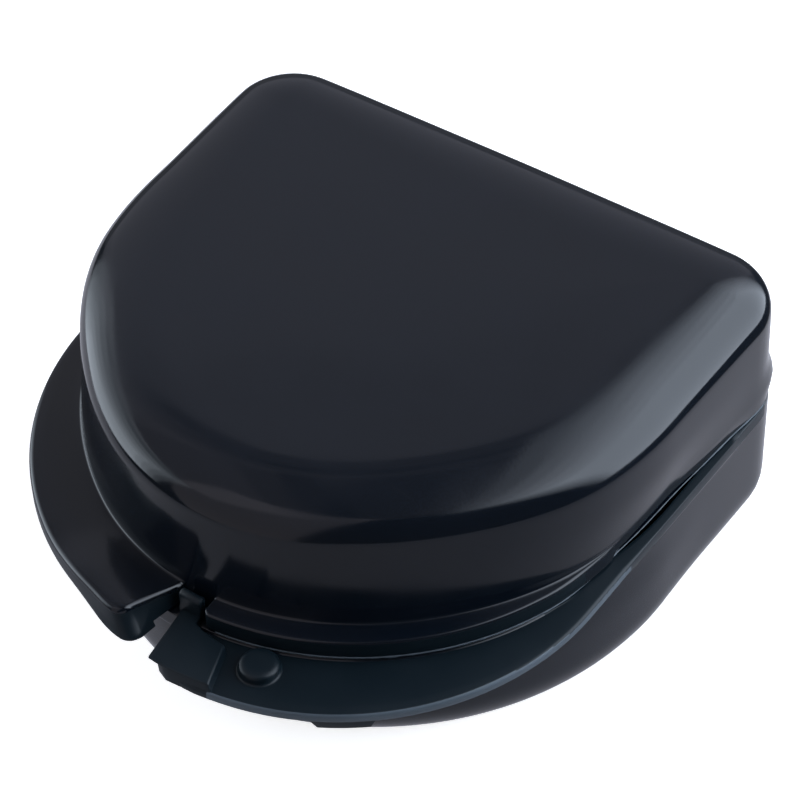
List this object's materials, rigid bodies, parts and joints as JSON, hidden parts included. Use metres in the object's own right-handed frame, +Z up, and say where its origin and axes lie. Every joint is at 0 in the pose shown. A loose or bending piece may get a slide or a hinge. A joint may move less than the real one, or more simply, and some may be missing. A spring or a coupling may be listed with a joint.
{
  "type": "mouthguard case",
  "caption": "D-shaped hinged plastic case for a mouthguard, with moulded finger flanges and a latch tongue at its rounded front.",
  "frame": {"origin": "middle of the case's width and depth on the flat face that the base rests on", "axes": "+Z up, hinge at +Y, rounded nose at -Y, +X along the hinge"},
  "size_m": [0.076, 0.0836, 0.0381],
  "materials": {
    "moulded_plastic": "satin gloss, blue black polypropylene",
    "pin_steel": "drawn wire"
  },
  "bodies": {
    "base": {"base_shell": "moulded_plastic", "hinge_pin_left": "pin_steel", "hinge_pin_right": "pin_steel"},
    "lid": {"lid_shell": "moulded_plastic"}
  },
  "joints": [
    {"name": "lid_hinge", "type": "hinge", "parent": "base", "child": "lid", "pos_m": [0, 0.03705, 0.01985], "axis": [-1, 0, 0], "range_deg": [0, 180]}
  ]
}
